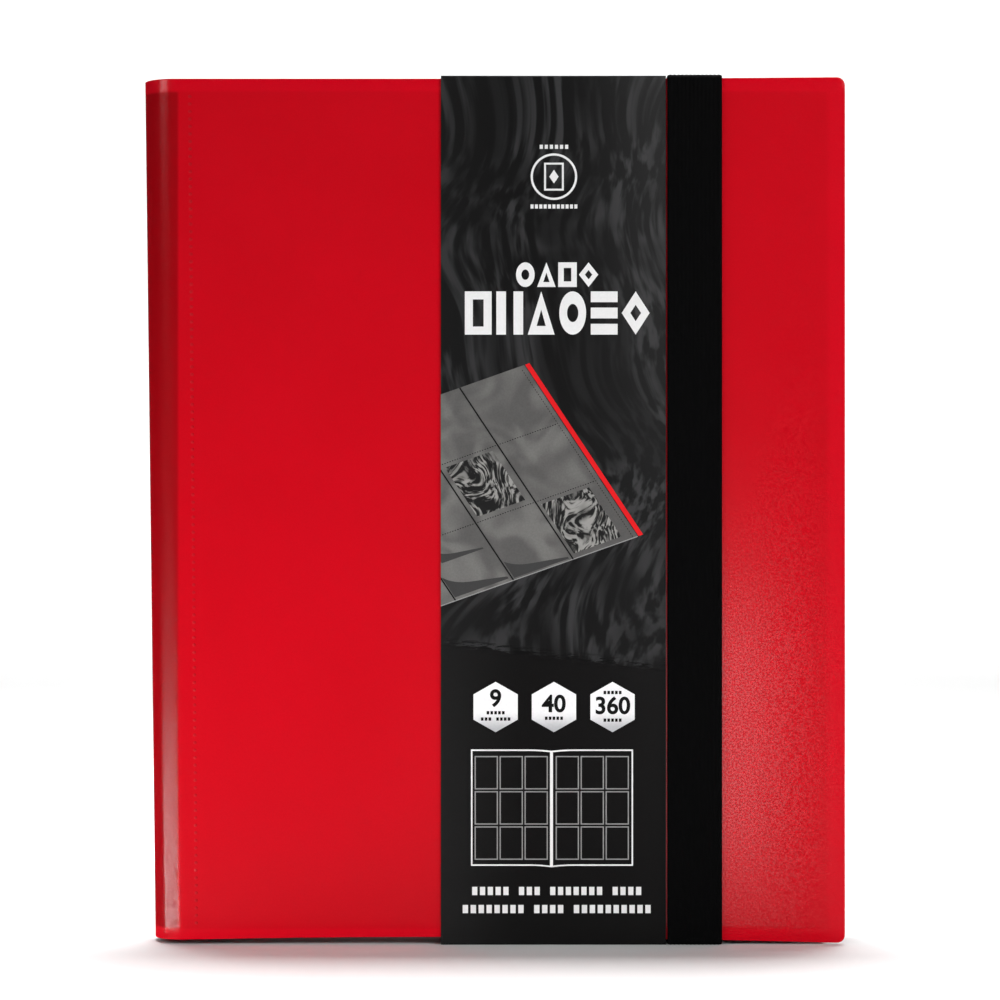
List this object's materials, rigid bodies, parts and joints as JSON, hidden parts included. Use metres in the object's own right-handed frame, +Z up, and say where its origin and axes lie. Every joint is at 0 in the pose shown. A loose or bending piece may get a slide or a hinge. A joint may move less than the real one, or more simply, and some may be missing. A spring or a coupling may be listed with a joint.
{
  "type": "trading card binder",
  "caption": "Side-loading card album with a red frosted plastic wrap cover, welded pocket sheets, an elastic closing strap and a paper belly band.",
  "frame": {"origin": "middle of the bounding box's underside, under the standing binder", "axes": "+Z up along the binder's height, +X from the spine to the fore-edge, -Y out of the front cover"},
  "size_m": [0.255, 0.027, 0.318],
  "materials": {
    "cover": "translucent red polypropylene sheet with a fine sand texture",
    "liner": "black polypropylene sheet, satin",
    "pocket_sheet": "black backing under clear polypropylene film",
    "elastic": "woven elastic webbing, dull black",
    "patch": "smooth red polypropylene",
    "paper": "coated card, printed near black, satin"
  },
  "bodies": {
    "back_cover": {"back_cover": "cover", "liner_flap_back": "liner", "strap_patch_lower": "patch", "strap_patch_upper": "patch"},
    "spine": {"spine": "cover", "liner_spine": "liner"},
    "front_cover": {"front_cover": "cover", "liner_flap_front": "liner"},
    "strap": {"elastic_strap": "elastic"},
    "belly_band": {"belly_band": "paper"},
    "sheet_01": {"pocket_sheet_01": "pocket_sheet"},
    "sheet_02": {"pocket_sheet_02": "pocket_sheet"},
    "sheet_03": {"pocket_sheet_03": "pocket_sheet"},
    "sheet_04": {"pocket_sheet_04": "pocket_sheet"},
    "sheet_05": {"pocket_sheet_05": "pocket_sheet"},
    "sheet_06": {"pocket_sheet_06": "pocket_sheet"},
    "sheet_07": {"pocket_sheet_07": "pocket_sheet"},
    "sheet_08": {"pocket_sheet_08": "pocket_sheet"},
    "sheet_09": {"pocket_sheet_09": "pocket_sheet"},
    "sheet_10": {"pocket_sheet_10": "pocket_sheet"},
    "sheet_11": {"pocket_sheet_11": "pocket_sheet"},
    "sheet_12": {"pocket_sheet_12": "pocket_sheet"},
    "sheet_13": {"pocket_sheet_13": "pocket_sheet"},
    "sheet_14": {"pocket_sheet_14": "pocket_sheet"},
    "sheet_15": {"pocket_sheet_15": "pocket_sheet"},
    "sheet_16": {"pocket_sheet_16": "pocket_sheet"},
    "sheet_17": {"pocket_sheet_17": "pocket_sheet"},
    "sheet_18": {"pocket_sheet_18": "pocket_sheet"},
    "sheet_19": {"pocket_sheet_19": "pocket_sheet"},
    "sheet_20": {"pocket_sheet_20": "pocket_sheet"}
  },
  "joints": [
    {"name": "spine_hinge", "type": "hinge", "parent": "back_cover", "child": "spine", "pos_m": [-0.1155, 0.012, 0.159], "axis": [0, 0, -1], "range_deg": [0, 90]},
    {"name": "front_cover_hinge", "type": "hinge", "parent": "spine", "child": "front_cover", "pos_m": [-0.1155, -0.012, 0.159], "axis": [0, 0, -1], "range_deg": [0, 90], "deforming": ["elastic_strap", "belly_band"]},
    {"name": "sheet_01_turn", "type": "hinge", "parent": "spine", "child": "sheet_01", "pos_m": [-0.1155, -0.012, 0.159], "axis": [0, 0, -1], "range_deg": [0, 90]},
    {"name": "sheet_02_turn", "type": "hinge", "parent": "spine", "child": "sheet_02", "pos_m": [-0.1155, -0.012, 0.159], "axis": [0, 0, -1], "range_deg": [0, 90]},
    {"name": "sheet_03_turn", "type": "hinge", "parent": "spine", "child": "sheet_03", "pos_m": [-0.1155, -0.012, 0.159], "axis": [0, 0, -1], "range_deg": [0, 90]},
    {"name": "sheet_04_turn", "type": "hinge", "parent": "spine", "child": "sheet_04", "pos_m": [-0.1155, -0.012, 0.159], "axis": [0, 0, -1], "range_deg": [0, 90]},
    {"name": "sheet_05_turn", "type": "hinge", "parent": "spine", "child": "sheet_05", "pos_m": [-0.1155, -0.012, 0.159], "axis": [0, 0, -1], "range_deg": [0, 90]},
    {"name": "sheet_06_turn", "type": "hinge", "parent": "spine", "child": "sheet_06", "pos_m": [-0.1155, -0.012, 0.159], "axis": [0, 0, -1], "range_deg": [0, 90]},
    {"name": "sheet_07_turn", "type": "hinge", "parent": "spine", "child": "sheet_07", "pos_m": [-0.1155, -0.012, 0.159], "axis": [0, 0, -1], "range_deg": [0, 90]},
    {"name": "sheet_08_turn", "type": "hinge", "parent": "spine", "child": "sheet_08", "pos_m": [-0.1155, -0.012, 0.159], "axis": [0, 0, -1], "range_deg": [0, 90]},
    {"name": "sheet_09_turn", "type": "hinge", "parent": "spine", "child": "sheet_09", "pos_m": [-0.1155, -0.012, 0.159], "axis": [0, 0, -1], "range_deg": [0, 90]},
    {"name": "sheet_10_turn", "type": "hinge", "parent": "spine", "child": "sheet_10", "pos_m": [-0.1155, -0.012, 0.159], "axis": [0, 0, -1], "range_deg": [0, 90]},
    {"name": "sheet_11_turn", "type": "hinge", "parent": "spine", "child": "sheet_11", "pos_m": [-0.1155, 0.012, 0.159], "axis": [0, 0, 1], "range_deg": [0, 90]},
    {"name": "sheet_12_turn", "type": "hinge", "parent": "spine", "child": "sheet_12", "pos_m": [-0.1155, 0.012, 0.159], "axis": [0, 0, 1], "range_deg": [0, 90]},
    {"name": "sheet_13_turn", "type": "hinge", "parent": "spine", "child": "sheet_13", "pos_m": [-0.1155, 0.012, 0.159], "axis": [0, 0, 1], "range_deg": [0, 90]},
    {"name": "sheet_14_turn", "type": "hinge", "parent": "spine", "child": "sheet_14", "pos_m": [-0.1155, 0.012, 0.159], "axis": [0, 0, 1], "range_deg": [0, 90]},
    {"name": "sheet_15_turn", "type": "hinge", "parent": "spine", "child": "sheet_15", "pos_m": [-0.1155, 0.012, 0.159], "axis": [0, 0, 1], "range_deg": [0, 90]},
    {"name": "sheet_16_turn", "type": "hinge", "parent": "spine", "child": "sheet_16", "pos_m": [-0.1155, 0.012, 0.159], "axis": [0, 0, 1], "range_deg": [0, 90]},
    {"name": "sheet_17_turn", "type": "hinge", "parent": "spine", "child": "sheet_17", "pos_m": [-0.1155, 0.012, 0.159], "axis": [0, 0, 1], "range_deg": [0, 90]},
    {"name": "sheet_18_turn", "type": "hinge", "parent": "spine", "child": "sheet_18", "pos_m": [-0.1155, 0.012, 0.159], "axis": [0, 0, 1], "range_deg": [0, 90]},
    {"name": "sheet_19_turn", "type": "hinge", "parent": "spine", "child": "sheet_19", "pos_m": [-0.1155, 0.012, 0.159], "axis": [0, 0, 1], "range_deg": [0, 90]},
    {"name": "sheet_20_turn", "type": "hinge", "parent": "spine", "child": "sheet_20", "pos_m": [-0.1155, 0.012, 0.159], "axis": [0, 0, 1], "range_deg": [0, 90]},
    {"name": "strap_slip", "type": "slide", "parent": "back_cover", "child": "strap", "axis": [0, 1, 0], "range_m": [0, 0.028]},
    {"name": "band_slide", "type": "slide", "parent": "back_cover", "child": "belly_band", "axis": [-1, 0, 0], "range_m": [0, 0.205]}
  ],
  "couplings": [
    {"joint": "spine_hinge", "follows": "front_cover_hinge", "ratio": 1},
    {"joint": "sheet_01_turn", "follows": "front_cover_hinge", "ratio": 0.996},
    {"joint": "sheet_02_turn", "follows": "front_cover_hinge", "ratio": 0.99},
    {"joint": "sheet_03_turn", "follows": "front_cover_hinge", "ratio": 0.984},
    {"joint": "sheet_04_turn", "follows": "front_cover_hinge", "ratio": 0.978},
    {"joint": "sheet_05_turn", "follows": "front_cover_hinge", "ratio": 0.972},
    {"joint": "sheet_06_turn", "follows": "front_cover_hinge", "ratio": 0.966},
    {"joint": "sheet_07_turn", "follows": "front_cover_hinge", "ratio": 0.96},
    {"joint": "sheet_08_turn", "follows": "front_cover_hinge", "ratio": 0.954},
    {"joint": "sheet_09_turn", "follows": "front_cover_hinge", "ratio": 0.948},
    {"joint": "sheet_10_turn", "follows": "front_cover_hinge", "ratio": 0.942},
    {"joint": "sheet_11_turn", "follows": "front_cover_hinge", "ratio": 0.942},
    {"joint": "sheet_12_turn", "follows": "front_cover_hinge", "ratio": 0.948},
    {"joint": "sheet_13_turn", "follows": "front_cover_hinge", "ratio": 0.954},
    {"joint": "sheet_14_turn", "follows": "front_cover_hinge", "ratio": 0.96},
    {"joint": "sheet_15_turn", "follows": "front_cover_hinge", "ratio": 0.966},
    {"joint": "sheet_16_turn", "follows": "front_cover_hinge", "ratio": 0.972},
    {"joint": "sheet_17_turn", "follows": "front_cover_hinge", "ratio": 0.978},
    {"joint": "sheet_18_turn", "follows": "front_cover_hinge", "ratio": 0.984},
    {"joint": "sheet_19_turn", "follows": "front_cover_hinge", "ratio": 0.99},
    {"joint": "sheet_20_turn", "follows": "front_cover_hinge", "ratio": 0.996},
    {"joint": "strap_slip", "follows": "front_cover_hinge", "m_per_rad": 0.0176}
  ]
}
